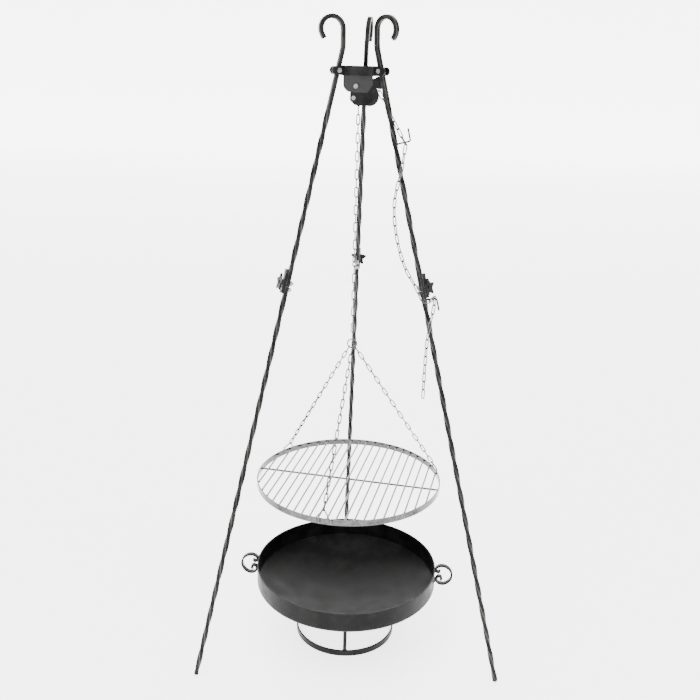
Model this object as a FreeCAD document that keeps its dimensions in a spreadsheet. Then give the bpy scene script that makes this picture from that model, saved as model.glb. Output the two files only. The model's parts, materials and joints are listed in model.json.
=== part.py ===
"""Campfire tripod grate: three twisted square-bar legs hinged on a ring head, a pulley block and chain
hoist, a round hanging grate and a fire bowl on a ring foot. Millimetres, +Z up, floor at z = 0, tripod axis
at x = y = 0. The legs stand at azimuths 90 (back), 210 (left) and 330 degrees (right)."""
import FreeCAD, Part
import Sketcher
import math
import os
from FreeCAD import Placement, Rotation, Vector

os.makedirs("parts", exist_ok=True)
doc = FreeCAD.newDocument("campfire_tripod_grate")
sheet = doc.addObject("Spreadsheet::Sheet", "Sizes")

SIZES = {
    # legs
    "pivot_radius": 60.0,
    "pivot_height": 1540.0,
    "splay_slope": 0.2605,
    "head_x": 5.0,
    "head_y": 0.0,
    "head_turn": -10.0,
    "foot_circle": 461.2,
    "bar_side": 10.0,
    "quarter_turn": 64.9,
    "hook_lean_rise": 46.5,
    "hook_bend_radius": 60.0,
    "hook_eye_height": 1632.0,
    "hook_radius": 27.5,
    "coupling_height": 1040.0,
    "splice_length": 60.0,
    "splice_width": 13.0,
    "splice_depth": 8.0,
    "straight_past_screw": 36.5,
    "rod_end_gap": 8.0,
    "splice_bolt_drop": 15.5,
    "screw_radius": 3.0,
    "screw_bore": 3.05,
    "bolt_bore": 3.1,
    "star_radius": 23.0,
    "star_waist": 12.0,
    "star_depth": 4.0,
    "star_collar": 6.0,
    # head
    "ring_radius": 51.5,
    "ring_wall": 4.0,
    "ring_tall": 22.0,
    "ear_gap": 5.9,
    "ear_wall": 4.0,
    "ear_tall": 19.0,
    "ear_reach": 77.0,
    "pivot_bolt_radius": 3.0,
    "cross_bar_depth": 5.0,
    "cross_bar_height": 1536.0,
    "cheek_wall": 2.5,
    "side_plate_wall": 2.0,
    "block_half": 8.0,
    "wheel_x": 25.5,
    "wheel_z": 1482.0,
    "wheel_flange": 22.5,
    "wheel_root": 17.0,
    "wheel_half": 7.5,
    "wheel_web": 5.5,
    "guide_x": 48.5,
    "guide_z": 1513.5,
    "guide_flange": 14.5,
    "guide_root": 8.0,
    "axle_radius": 4.0,
    "axle_play": 0.08,
    "roller_x": 12.6,
    "roller_z": 1478.0,
    "roller_radius": 6.5,
    "block_bolt_x": 8.0,
    "block_bolt_z": 1505.0,
    # chain
    "link_wire": 2.6,
    "link_inner_wide": 4.8,
    "link_inner_long": 22.0,
    "link_play": 0.2,
    "hang_ring_wire": 3.2,
    "hang_ring_radius": 12.0,
    # pegs on the right leg
    "peg_wire": 4.0,
    "upper_peg_drop": 169.4,
    "upper_peg_turn": 13.0,
    "upper_peg_out": 40.0,
    "lower_peg_drop": 546.5,
    "lower_peg_out": 38.0,
    "peg_tip": 30.0,
    "peg_hold": 25.0,
    "lower_hold": 31.5,
    "hold_above": 5.6,
    "slack_links": 20,
    "tail_links": 11,
    # grate
    "grate_radius": 250.0,
    "grate_band": 3.0,
    "grate_tall": 15.5,
    "grate_top": 480.0,
    "bar_wire": 4.5,
    "bar_pitch": 22.7,
    "bar_count": 21,
    "bar_azimuth": 77.0,
    "bar_below_top": 4.5,
    "brace_wire": 5.0,
    "loop_wire": 3.0,
    "loop_half": 16.0,
    "loop_reach": 22.0,
    "first_loop_azimuth": 15.0,
    # fire bowl
    "bowl_radius": 251.0,
    "bowl_height": 210.0,
    "bowl_wall_tall": 53.0,
    "bowl_sagitta": 50.0,
    "bowl_wall": 3.0,
    "bowl_corner": 9.0,
    "foot_radius": 139.0,
    "foot_wall": 4.0,
    "foot_tall": 16.5,
    "post_radius": 5.0,
    "handle_strip": 5.0,
    "handle_wide": 11.0,
    "handle_turn": 5.5,
    "handle_height": 190.0,
    "upper_arm": 86.0,
    "lower_arm": 97.5,
}
for row, (word, value) in enumerate(SIZES.items(), start=1):
    sheet.set(f"A{row}", word)
    sheet.set(f"B{row}", str(value))
    sheet.setAlias(f"B{row}", word)
doc.recompute()

X_AXIS = Vector(1, 0, 0)
Y_AXIS = Vector(0, 1, 0)
Z_AXIS = Vector(0, 0, 1)
LEGS = {"back": 90.0, "left": 210.0, "right": 330.0}
nodes = []


def size(word):
    """Current value of a spreadsheet cell."""
    return float(sheet.get(word))


# ---------------------------------------------------------------- modelling helpers
def keep(piece, label, placement=None):
    """Names a finished sub-part, places it and lists it for export."""
    piece.Label = label
    if placement is not None:
        piece.Placement = placement
    nodes.append(piece)
    return piece


def new_body(name):
    return doc.addObject("PartDesign::Body", name + "_body")


def new_sketch(body, plane_role):
    plane = [item for item in body.Origin.OriginFeatures if item.Role == plane_role][0]
    sketch = body.newObject("Sketcher::SketchObject", body.Name + "_sketch")
    sketch.AttachmentSupport = [(plane, "")]
    sketch.MapMode = "FlatFace"
    return sketch


def bind(sketch, constraint, formula):
    """Adds one constraint and ties it to a spreadsheet formula."""
    index = sketch.addConstraint(constraint)
    sketch.setExpression(f"Constraints[{index}]", formula)


def add_polygon(sketch, corners):
    """Closed outline whose corners are pairs of spreadsheet formulas."""
    count = len(corners)
    first = sketch.GeometryCount
    for index in range(count):
        start = 2 * math.pi * index / count
        end = 2 * math.pi * (index + 1) / count
        line = Part.LineSegment(
            Vector(math.cos(start), math.sin(start), 0), Vector(math.cos(end), math.sin(end), 0)
        )
        sketch.addGeometry(line, False)
    for index in range(count):
        following = first + (index + 1) % count
        sketch.addConstraint(Sketcher.Constraint("Coincident", first + index, 2, following, 1))
    for index, (across, up) in enumerate(corners):
        bind(sketch, Sketcher.Constraint("DistanceX", -1, 1, first + index, 1, 1.0), across)
        bind(sketch, Sketcher.Constraint("DistanceY", -1, 1, first + index, 1, 1.0), up)


def add_circle(sketch, across, up, radius):
    """Circle whose centre and radius are spreadsheet formulas."""
    index = sketch.addGeometry(Part.Circle(Vector(0, 0, 0), Z_AXIS, 1.0), False)
    bind(sketch, Sketcher.Constraint("DistanceX", -1, 1, index, 3, 1.0), across)
    bind(sketch, Sketcher.Constraint("DistanceY", -1, 1, index, 3, 1.0), up)
    bind(sketch, Sketcher.Constraint("Radius", index, 1.0), radius)


def add_outline(sketch, points, radii):
    """Closed outline through computed corner points, each rounded by its own radius."""
    edges = rounded_edges([Vector(x, y, 0) for x, y in points], radii, closed=True)
    for edge in edges:
        curve = edge.Curve
        start = edge.valueAt(edge.FirstParameter)
        end = edge.valueAt(edge.LastParameter)
        if isinstance(curve, Part.Line):
            sketch.addGeometry(Part.LineSegment(start, end), False)
            continue
        middle = edge.valueAt((edge.FirstParameter + edge.LastParameter) / 2)
        if (middle - start).cross(end - middle).z < 0:
            start, end = end, start
        angles = [math.atan2(point.y - curve.Center.y, point.x - curve.Center.x) for point in (start, end)]
        circle = Part.Circle(curve.Center, Z_AXIS, curve.Radius)
        sketch.addGeometry(Part.ArcOfCircle(circle, angles[0], angles[1]), False)
    sketch.addConstraint([Sketcher.Constraint("Block", index) for index in range(sketch.GeometryCount)])


def pad(body, sketch, formula, symmetric=False, backward=False):
    feature = body.newObject("PartDesign::Pad", body.Name + "_pad")
    feature.Profile = sketch
    feature.setExpression("Length", formula)
    if symmetric:
        feature.SideType = "Symmetric"
    feature.Reversed = backward
    sketch.Visibility = False
    doc.recompute()
    return feature


def revolve(body, sketch):
    """Turns a profile in the XZ plane about the body's Z axis."""
    feature = body.newObject("PartDesign::Revolution", body.Name + "_turned")
    feature.Profile = sketch
    feature.ReferenceAxis = (sketch, ["V_Axis"])
    feature.Angle = 360
    doc.recompute()
    return feature


def turned(name, corners):
    """Body turned about its Z axis from an outline of (radius, height) formulas."""
    body = new_body(name)
    sketch = new_sketch(body, "XZ_Plane")
    add_polygon(sketch, corners)
    revolve(body, sketch)
    return body


def cylinder(radius, height, placement):
    """Loose cylinder bound to the sheet, used inside booleans and groups."""
    piece = doc.addObject("Part::Cylinder", "rod")
    piece.setExpression("Radius", radius)
    piece.setExpression("Height", height)
    piece.Placement = placement
    return piece


def hexagon(corner_radius, height, placement):
    """Loose hexagonal prism for bolt heads and nuts."""
    piece = doc.addObject("Part::Prism", "hexagon")
    piece.Polygon = 6
    piece.setExpression("Circumradius", corner_radius)
    piece.setExpression("Height", height)
    piece.Placement = placement
    return piece


def joined(name, pieces):
    union = doc.addObject("Part::MultiFuse", name + "_union")
    union.Shapes = pieces
    doc.recompute()
    return union


def drilled(name, base, tools):
    tool = tools[0] if len(tools) == 1 else joined(name + "_tools", tools)
    cut = doc.addObject("Part::Cut", name + "_cut")
    cut.Base = base
    cut.Tool = tool
    doc.recompute()
    return cut


def grouped(name, pieces):
    """Separate solids that make one sub-part."""
    group = doc.addObject("Part::Compound", name + "_group")
    group.Links = pieces
    doc.recompute()
    return group


def linked(source, placement):
    """Second use of a piece that is already modelled."""
    copy = doc.addObject("App::Link", source.Name + "_again")
    copy.LinkedObject = source
    copy.LinkTransform = False
    copy.Placement = placement
    return copy


def formed(name, shape):
    """Sub-part whose shape is worked out by Part functions from the sheet."""
    piece = doc.addObject("Part::Feature", name + "_form")
    piece.Shape = shape
    return piece


def rounded_edges(points, radii, closed=False):
    """Straight runs joined by tangent arcs at the inner corners."""
    count = len(points)
    edges = []
    corners = []
    for index in range(count):
        point = points[index]
        if not closed and index in (0, count - 1) or radii[index] == 0:
            corners.append((point, None, point))
            continue
        before = (points[index - 1] - point).normalize()
        after = (points[(index + 1) % count] - point).normalize()
        half = before.getAngle(after) / 2
        run = radii[index] / math.tan(half)
        middle = (before + after).normalize() * (radii[index] / math.sin(half) - radii[index])
        corners.append((point + before * run, point + middle, point + after * run))
    for index in range(count if closed else count - 1):
        enter, middle, leave = corners[index]
        if middle is not None:
            edges.append(Part.Arc(enter, middle, leave).toShape())
        following = corners[(index + 1) % count][0]
        if (following - leave).Length > 1e-6:
            edges.append(Part.makeLine(leave, following))
    return edges


def swept_round(points, bend_radius, wire):
    """Round wire bent along a line of points."""
    radii = [bend_radius] * len(points)
    path = Part.Wire(rounded_edges(points, radii))
    start = points[0]
    along = (points[1] - points[0]).normalize()
    circle = Part.Wire([Part.makeCircle(wire / 2, start, along)])
    return path.makePipeShell([circle], True, False)


def square(side, centre, turn):
    """Square outline across the Z axis, turned by an angle in degrees."""
    corner = side / math.sqrt(2)
    angles = [math.radians(turn + 45 + 90 * step) for step in range(4)]
    points = [centre + Vector(corner * math.cos(a), corner * math.sin(a), 0) for a in angles]
    return Part.makePolygon(points + points[:1])


def facing(x_direction, z_direction, base=Vector(0, 0, 0)):
    """Placement whose local Z points along one direction and local X near another."""
    z_unit = Vector(z_direction).normalize()
    y_unit = z_unit.cross(x_direction).normalize()
    x_unit = y_unit.cross(z_unit)
    return Placement(base, Rotation(x_unit, y_unit, z_unit, "ZXY"))


# ---------------------------------------------------------------- frames of the legs
SPLAY = math.degrees(math.atan(size("splay_slope")))
LEAN = math.cos(math.radians(SPLAY))


def head_point(azimuth, away=0.0):
    """Point at pivot height, away from the ring's centre towards a leg's pivot."""
    turn = math.radians(azimuth + size("head_turn"))
    centre = Vector(size("head_x"), size("head_y"), size("pivot_height"))
    return centre + Vector(math.cos(turn), math.sin(turn), 0) * away


def leg_frame(azimuth):
    """Origin at the leg's pivot, +Z up along the leg, +X outward, +Y nearly along the pivot bolt."""
    pivot = head_point(azimuth, size("pivot_radius"))
    turn = math.radians(azimuth)
    target = Vector(math.cos(turn), math.sin(turn), 0) * size("foot_circle")
    heading = Vector(target.x - pivot.x, target.y - pivot.y, 0).normalize()
    upward = Z_AXIS - heading * size("splay_slope")
    head_turn = math.radians(azimuth + size("head_turn"))
    hinge = Vector(-math.sin(head_turn), math.cos(head_turn), 0)
    return facing(hinge.cross(upward), upward, pivot)


def ring_frame(azimuth):
    """Origin at the ring's centre at pivot height, +X towards the leg."""
    return Placement(head_point(azimuth), Rotation(Z_AXIS, azimuth + size("head_turn")))


screw_z = -(size("pivot_height") - size("coupling_height")) / LEAN
upper_end = screw_z - size("rod_end_gap")
lower_start = upper_end - 0.6
bar_half = size("bar_side") / 2
upper_twist_end = screw_z + size("straight_past_screw")
lower_twist_start = screw_z - size("straight_past_screw")
upper_quarters = 6
upper_twist_start = upper_twist_end + upper_quarters * size("quarter_turn")


def foot_length(frame):
    """How far down the leg its square end has its lowest corner on the floor."""
    across = abs(frame.Rotation.multVec(X_AXIS).z) + abs(frame.Rotation.multVec(Y_AXIS).z)
    return (size("pivot_height") - bar_half * across) / frame.Rotation.multVec(Z_AXIS).z


foot_end = -max(foot_length(leg_frame(azimuth)) for azimuth in LEGS.values())
lower_quarters = round((lower_twist_start - foot_end) / size("quarter_turn"))


def twisted_bar(top, bottom, quarters):
    """Square bar twisted evenly about its own axis between two heights."""
    steps = quarters * 3
    rings = []
    for step in range(steps + 1):
        share = step / steps
        centre = Vector(0, 0, top + (bottom - top) * share)
        rings.append(square(size("bar_side"), centre, 90 * quarters * share))
    return Part.makeLoft(rings, True, False)


def hooked_top(bottom, lean, sweep, tip):
    """Plain square bar from a height below the pivot up to the open hook at the leg's top."""
    bend_radius = size("hook_bend_radius")
    side = Vector(math.cos(lean), 0, -math.sin(lean))
    upward = Vector(math.sin(lean), 0, math.cos(lean))
    bend_start = Vector(0, 0, size("hook_lean_rise"))
    centre = bend_start + X_AXIS * bend_radius
    bend_middle = centre + Vector(-math.cos(lean / 2), 0, math.sin(lean / 2)) * bend_radius
    bend_end = centre + Vector(-math.cos(lean), 0, math.sin(lean)) * bend_radius
    rise = size("hook_eye_height") - size("pivot_height") - bend_end.dot(upward)
    arc_start = bend_end + upward * rise
    eye = arc_start + side * size("hook_radius")

    def on_hook(angle):
        turn = math.radians(180 - angle)
        return eye + (side * math.cos(turn) + upward * math.sin(turn)) * size("hook_radius")

    end_turn = math.radians(90 - sweep)
    end_heading = side * math.cos(end_turn) + upward * math.sin(end_turn)
    edges = [
        Part.makeLine(Vector(0, 0, bottom), bend_start),
        Part.Arc(bend_start, bend_middle, bend_end).toShape(),
        Part.makeLine(bend_end, arc_start),
        Part.Arc(on_hook(0), on_hook(sweep / 2), on_hook(sweep)).toShape(),
    ]
    if tip:
        edges.append(Part.makeLine(on_hook(sweep), on_hook(sweep) + end_heading * tip))
    outline = square(size("bar_side"), Vector(0, 0, bottom), 0)
    return Part.Wire(edges).makePipeShell([outline], True, False)


def bore(radius, z):
    """Cylinder across the leg, front to back of its outer face."""
    return Part.makeCylinder(radius, 80, Vector(-40, 0, z), X_AXIS)


def upper_rod_shape(frame, sweep, tip):
    to_local = frame.Rotation.inverted()
    vertical = to_local.multVec(Z_AXIS)
    plain = hooked_top(upper_twist_start, math.atan2(vertical.x, vertical.z), sweep, tip)
    twist = twisted_bar(upper_twist_start, upper_twist_end, upper_quarters)
    end = Part.makeBox(
        size("bar_side"), size("bar_side"), upper_twist_end - upper_end,
        Vector(-bar_half, -bar_half, upper_end),
    )
    bar = plain.fuse([twist, end])
    hinge = to_local.multVec(Z_AXIS.cross(frame.Rotation.multVec(X_AXIS)).normalize())
    pin = Part.makeCylinder(size("pivot_bolt_radius") + 0.05, 40, hinge * -20, hinge)
    return bar.cut([pin, bore(size("screw_bore"), screw_z)])


def lower_rod_shape():
    twist = twisted_bar(lower_twist_start, foot_end, lower_quarters)
    start = Part.makeBox(
        size("bar_side"), size("bar_side"), lower_start - lower_twist_start,
        Vector(-bar_half, -bar_half, lower_twist_start),
    )
    return twist.fuse(start).cut(bore(size("bolt_bore"), screw_z - size("splice_bolt_drop")))


def star_points():
    """Corners of the five-pointed star and their rounding radii."""
    points = []
    radii = []
    for step in range(10):
        reach = size("star_radius") + 2.2 if step % 2 == 0 else size("star_waist")
        angle = math.radians(90 + 36 * step)
        points.append((reach * math.cos(angle), reach * math.sin(angle)))
        radii.append(2.4 if step % 2 == 0 else 3.0)
    return points, radii


out_of_leg = Rotation(Y_AXIS, 90)
splice_face = bar_half + size("splice_depth")

# sweep of each hook and the straight length left at its tip
HOOKS = {"back": (228.0, 0.0), "left": (208.0, 10.0), "right": (228.0, 0.0)}

for name, azimuth in LEGS.items():
    frame = leg_frame(azimuth)
    keep(formed(name + "_upper_rod", upper_rod_shape(frame, *HOOKS[name])), name + "_upper_rod", frame)
    keep(formed(name + "_lower_rod", lower_rod_shape()), name + "_lower_rod", frame)

    # flat bar that couples the two rods on the outer side of the leg
    bar = new_body(name + "_splice_bar")
    sketch = new_sketch(bar, "YZ_Plane")
    half = "Sizes.splice_width / 2"
    top = "Sizes.splice_length * 0.57"
    bottom = "-Sizes.splice_length * 0.43"
    add_polygon(sketch, [("-" + half, bottom), (half, bottom), (half, top), ("-" + half, top)])
    add_circle(sketch, "0", "0", "Sizes.screw_bore")
    add_circle(sketch, "0", "-Sizes.splice_bolt_drop", "Sizes.bolt_bore")
    pad(bar, sketch, "Sizes.splice_depth")
    keep(bar, name + "_splice_bar", frame * Placement(Vector(bar_half, 0, screw_z), Rotation()))

    # hexagon bolt and nut that hold the lower rod
    bolt_z = screw_z - size("splice_bolt_drop")
    head = hexagon("5.8", "4", Placement(Vector(splice_face, 0, bolt_z), out_of_leg))
    nut = hexagon("5.8", "5", Placement(Vector(-bar_half - 5, 0, bolt_z), out_of_leg))
    shank = cylinder(
        "Sizes.screw_radius", "Sizes.bar_side + Sizes.splice_depth + 7",
        Placement(Vector(-bar_half - 7, 0, bolt_z), out_of_leg),
    )
    keep(joined(name + "_splice_bolt", [head, nut, shank]), name + "_splice_bolt", frame)

    # nut in which the star screw turns
    block = hexagon("6.4", "6", Placement(Vector(-bar_half - 6, 0, screw_z), out_of_leg))
    hole = cylinder("Sizes.screw_bore", "20", Placement(Vector(-bar_half - 15, 0, screw_z), out_of_leg))
    keep(drilled(name + "_star_nut", block, [hole]), name + "_star_nut", frame)

    # star-headed clamping screw
    star = new_body(name + "_star_screw")
    sketch = new_sketch(star, "YZ_Plane")
    points, radii = star_points()
    add_outline(sketch, points, radii)
    pad(star, sketch, "Sizes.star_depth")
    collar = new_sketch(star, "YZ_Plane")
    add_circle(collar, "0", "0", "6.5")
    pad(star, collar, "Sizes.star_collar - 0.1", backward=True)
    shank = new_sketch(star, "YZ_Plane")
    add_circle(shank, "0", "0", "Sizes.screw_radius")
    pad(star, shank, "Sizes.star_collar + Sizes.splice_depth + Sizes.bar_side + 9", backward=True)
    boss = new_sketch(star, "YZ_Plane")
    add_circle(boss, "0", "0", "4.5")
    pad(star, boss, "Sizes.star_depth + 1.5")
    place = Placement(Vector(splice_face + size("star_collar"), 0, screw_z), Rotation())
    keep(star, name + "_star_screw", frame * place)

    # pair of ear plates on the head's ring and the bolt the leg swings on
    plate = new_body(name + "_ear_plate")
    sketch = new_sketch(plate, "XZ_Plane")
    add_outline(
        sketch,
        [
            (size("ring_radius"), -size("ear_tall") / 2), (size("ear_reach"), -size("ear_tall") / 2),
            (size("ear_reach"), size("ear_tall") / 2), (size("ring_radius"), size("ear_tall") / 2),
        ],
        [0, size("ear_tall") / 2 - 0.01, size("ear_tall") / 2 - 0.01, 0],
    )
    add_circle(sketch, "Sizes.pivot_radius", "0", "Sizes.pivot_bolt_radius + 0.1")
    pad(plate, sketch, "Sizes.ear_wall", symmetric=True)
    offset = Vector(0, size("ear_gap") + size("ear_wall") / 2, 0)
    pair = grouped(
        name + "_ear_plates",
        [linked(plate, Placement(offset, Rotation())), linked(plate, Placement(offset * -1, Rotation()))],
    )
    keep(pair, name + "_ear_plates", ring_frame(azimuth))

    face = size("ear_gap") + size("ear_wall")
    along_y = Rotation(X_AXIS, -90)
    front_head = hexagon("6", "4", Placement(Vector(size("pivot_radius"), -face - 4, 0), along_y))
    back_nut = hexagon("6", "5", Placement(Vector(size("pivot_radius"), face, 0), along_y))
    shank = cylinder(
        "Sizes.pivot_bolt_radius", "2 * (Sizes.ear_gap + Sizes.ear_wall) + 9",
        Placement(Vector(size("pivot_radius"), -face - 1, 0), along_y),
    )
    keep(
        joined(name + "_pivot_bolt", [front_head, back_nut, shank]), name + "_pivot_bolt", ring_frame(azimuth)
    )

# ---------------------------------------------------------------- head and pulley block
ring = turned("head_ring", [
    ("Sizes.ring_radius - Sizes.ring_wall", "-Sizes.ring_tall / 2"),
    ("Sizes.ring_radius", "-Sizes.ring_tall / 2"),
    ("Sizes.ring_radius", "Sizes.ring_tall / 2"),
    ("Sizes.ring_radius - Sizes.ring_wall", "Sizes.ring_tall / 2"),
])
keep(ring, "head_ring", Placement(head_point(0), Rotation()))

plate_face = size("block_half") + size("side_plate_wall")
bar = new_body("cross_bar")
sketch = new_sketch(bar, "XY_Plane")
edge = "(Sizes.block_half + Sizes.side_plate_wall)"
far_edge = f"({edge} - Sizes.head_y)"
reach = f"sqrt((Sizes.ring_radius - Sizes.ring_wall) ^ 2 - {far_edge} ^ 2)"
add_polygon(sketch, [
    (f"Sizes.head_x - {reach}", "-" + edge), (f"Sizes.head_x + {reach}", "-" + edge),
    (f"Sizes.head_x + {reach}", edge), (f"Sizes.head_x - {reach}", edge),
])
pad(bar, sketch, "Sizes.cross_bar_depth")
keep(bar, "cross_bar", Placement(Vector(0, 0, size("cross_bar_height")), Rotation()))

along_minus_y = Rotation(X_AXIS, 90)
wheel_at = Vector(size("wheel_x"), 0, size("wheel_z"))
guide_at = Vector(size("guide_x"), 0, size("guide_z"))
roller_at = Vector(-size("roller_x"), 0, size("roller_z"))
block_bolt_at = Vector(-size("block_bolt_x"), 0, size("block_bolt_z"))


def plate_pair(name, points, radii, wall, gap, holes):
    """Two equal plates either side of the block, drilled where the pins pass."""
    plate = new_body(name)
    sketch = new_sketch(plate, "XZ_Plane")
    add_outline(sketch, points, radii)
    for across, up, radius in holes:
        add_circle(sketch, across, up, radius)
    pad(plate, sketch, wall, symmetric=True)
    return grouped(name, [
        linked(plate, Placement(Vector(0, gap, 0), Rotation())),
        linked(plate, Placement(Vector(0, -gap, 0), Rotation())),
    ])


bolt_hole = ("-Sizes.block_bolt_x", "Sizes.block_bolt_z", "Sizes.axle_radius + 0.1")
cheeks = plate_pair(
    "cheek_plates",
    [(-38, 1546), (-38, 1491), (20, 1491), (32, 1508), (32, 1546)],
    [3, 19, 2, 2, 3],
    "Sizes.cheek_wall", plate_face + size("cheek_wall") / 2, [bolt_hole],
)
keep(cheeks, "cheek_plates")
sides = plate_pair(
    "side_plates",
    [(-21, 1472), (-21, 1487), (-17, 1523), (44, 1523), (56, 1521), (56, 1506), (47, 1505),
     (34, 1493), (34, 1472), (20, 1461), (-9, 1461)],
    [4, 4, 3, 3, 6, 6, 3, 3, 6, 5, 6],
    "Sizes.side_plate_wall", size("block_half") + size("side_plate_wall") / 2,
    [
        bolt_hole,
        ("Sizes.wheel_x", "Sizes.wheel_z", "Sizes.axle_radius + 0.1"),
        ("Sizes.guide_x", "Sizes.guide_z", "Sizes.axle_radius + 0.1"),
        ("-Sizes.roller_x", "Sizes.roller_z", "2.6"),
    ],
)
keep(sides, "side_plates")


def through_bolt(name, at, face, head_radius, head_tall):
    """Hexagon bolt right through the block with a nut at the back."""
    front = hexagon(str(head_radius), str(head_tall), Placement(at + Vector(0, -face, 0), along_minus_y))
    back = hexagon(str(head_radius), "5", Placement(at + Vector(0, face + 5, 0), along_minus_y))
    shank = cylinder(
        "Sizes.axle_radius", str(2 * face + 7), Placement(at + Vector(0, face + 6.5, 0), along_minus_y)
    )
    keep(joined(name, [front, back, shank]), name)


def rivet_axle(name, at, face):
    """Headed pin that a wheel turns on."""
    front = cylinder("5.5", "1.6", Placement(at + Vector(0, -face, 0), along_minus_y))
    back = cylinder("5.5", "1.6", Placement(at + Vector(0, face + 1.6, 0), along_minus_y))
    shank = cylinder("Sizes.axle_radius", str(2 * face), Placement(at + Vector(0, face, 0), along_minus_y))
    keep(joined(name, [front, back, shank]), name)


through_bolt("block_bolt", block_bolt_at, plate_face + size("cheek_wall"), 5.8, 4.0)
rivet_axle("main_axle", wheel_at, plate_face)
rivet_axle("guide_axle", guide_at, plate_face)

# small roller that keeps the falling chain off the block's edge, on its own bolt
roller_gap = size("block_half") - 0.3
drum_place = Placement(Vector(0, roller_gap, 0), along_minus_y)
drum = cylinder("Sizes.roller_radius", str(2 * roller_gap), drum_place)
front_head = hexagon("5.5", "3.5", Placement(Vector(0, -plate_face, 0), along_minus_y))
back_head = hexagon("5.5", "4", Placement(Vector(0, plate_face + 4, 0), along_minus_y))
shank = cylinder("2.5", str(2 * plate_face + 6), Placement(Vector(0, plate_face + 5.5, 0), along_minus_y))
roller = joined("guide_roller", [drum, front_head, back_head, shank])
keep(roller, "guide_roller", Placement(roller_at, Rotation()))


def grooved_wheel(name, flange, root):
    """Pulley with a V groove, turned about its own Z axis."""
    bore_radius = "Sizes.axle_radius + Sizes.axle_play"
    return turned(name, [
        (bore_radius, "-Sizes.wheel_half"), (flange, "-Sizes.wheel_half"),
        (flange, "-Sizes.wheel_half + 1.2"), (root, "-Sizes.wheel_web"), (root, "Sizes.wheel_web"),
        (flange, "Sizes.wheel_half - 1.2"), (flange, "Sizes.wheel_half"), (bore_radius, "Sizes.wheel_half"),
    ])


keep(
    grooved_wheel("main_wheel", "Sizes.wheel_flange", "Sizes.wheel_root"), "main_wheel",
    Placement(wheel_at, along_minus_y),
)
keep(
    grooved_wheel("guide_wheel", "Sizes.guide_flange", "Sizes.guide_root"), "guide_wheel",
    Placement(guide_at, along_minus_y),
)

# ---------------------------------------------------------------- chain
wire = size("link_wire")
long_inside = size("link_inner_long")
pitch = long_inside - size("link_play")
bend = size("link_inner_wide") / 2 + wire / 2
straight = long_inside / 2 - size("link_inner_wide") / 2


def one_link():
    """Link lying in the XZ plane with its length along Z, centred on the origin."""
    top = Vector(0, 0, straight)
    path = Part.Wire([
        Part.makeLine(Vector(bend, 0, -straight), Vector(bend, 0, straight)),
        Part.Arc(Vector(bend, 0, straight), top + Z_AXIS * bend, Vector(-bend, 0, straight)).toShape(),
        Part.makeLine(Vector(-bend, 0, straight), Vector(-bend, 0, -straight)),
        Part.Arc(Vector(-bend, 0, -straight), top * -1 - Z_AXIS * bend, Vector(bend, 0, -straight)).toShape(),
    ])
    circle = Part.Wire([Part.makeCircle(wire / 2, Vector(bend, 0, -straight), Z_AXIS)])
    return path.makePipeShell([circle], True, True)


LINK = one_link()


def link_at(centre, along, normal):
    """Chain link with its length along one direction and its flat face towards another."""
    y_unit = (normal - along * normal.dot(along)).normalize()
    placement = Placement(centre, Rotation(y_unit.cross(along), y_unit, along, "ZYX"))
    return LINK.transformed(placement.toMatrix(), True)


def run_of_links(joints, normal, turn=90.0):
    """Links between successive joint points, each turned about its length from the one before."""
    links = []
    for start, end in zip(joints, joints[1:]):
        along = (end - start).normalize()
        flat = (normal - along * normal.dot(along)).normalize()
        links.append(link_at((start + end) / 2, along, flat))
        normal = Rotation(along, turn).multVec(flat)
    return links, normal


def run_meeting(joints, normal, goal):
    """Run of links whose small extra twist brings the next link's flat face to a wanted direction."""
    links, final = run_of_links(joints, normal)
    along = (joints[-1] - joints[-2]).normalize()
    final = (final - along * final.dot(along)).normalize()
    wanted = (goal - along * goal.dot(along)).normalize()
    swing = math.degrees(math.atan2(final.cross(wanted).dot(along), final.dot(wanted)))
    swing = (swing + 90) % 180 - 90
    print("run of", len(links), "links, end turned by", round(swing, 1))
    return run_of_links(joints, normal, 90.0 + swing / len(links))


def stepped(guide_points):
    """Joint points one chain pitch apart along a smooth line, and the share of a pitch left at its end."""
    curve = Part.BSplineCurve()
    curve.interpolate(guide_points)
    first, last = curve.FirstParameter, curve.LastParameter
    steps = 3000
    joints = [guide_points[0]]
    for index in range(1, steps + 1):
        point = curve.value(first + (last - first) * index / steps)
        if (point - joints[-1]).Length >= pitch:
            joints.append(point)
    return joints, (guide_points[-1] - joints[-1]).Length / pitch


chain_top = Vector(0, 0, size("wheel_z"))
turn = math.degrees(2 * math.asin(pitch / 2 / size("wheel_x")))
over_wheel = []
for step in range(4):
    angle = math.radians(180 - turn * (3 - step))
    over_wheel.append(wheel_at + Vector(math.cos(angle), 0, math.sin(angle)) * size("wheel_x"))
lift_off = over_wheel[0]
first_along = (over_wheel[1] - lift_off).normalize()
first_flat = X_AXIS - first_along * first_along.x
hanging = [chain_top - Z_AXIS * pitch * step for step in range(29)]
links, normal = run_of_links(over_wheel + hanging[1:3], X_AXIS)
keep(formed("wheel_chain", Part.makeCompound(links)), "wheel_chain")
links, normal = run_of_links(hanging[2:4], normal)
keep(formed("chain_top_link", Part.makeCompound(links)), "chain_top_link")
links, normal = run_of_links(hanging[3:28], normal)
keep(formed("main_chain", Part.makeCompound(links)), "main_chain")
links, normal = run_of_links(hanging[27:29], normal)
keep(formed("chain_end_link", Part.makeCompound(links)), "chain_end_link")

# ring below the last link, standing in the plane that the link's flat face looks along
ring_top = hanging[28].z + size("link_play") / 2 + size("hang_ring_wire") / 2 + 0.1
ring_at = Vector(0, 0, ring_top - size("hang_ring_radius"))
ring_normal = normal
hang_ring = doc.addObject("Part::Torus", "suspension_ring_form")
hang_ring.setExpression("Radius1", "Sizes.hang_ring_radius")
hang_ring.setExpression("Radius2", "Sizes.hang_ring_wire / 2")
keep(hang_ring, "suspension_ring", facing(X_AXIS, ring_normal, ring_at))

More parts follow.
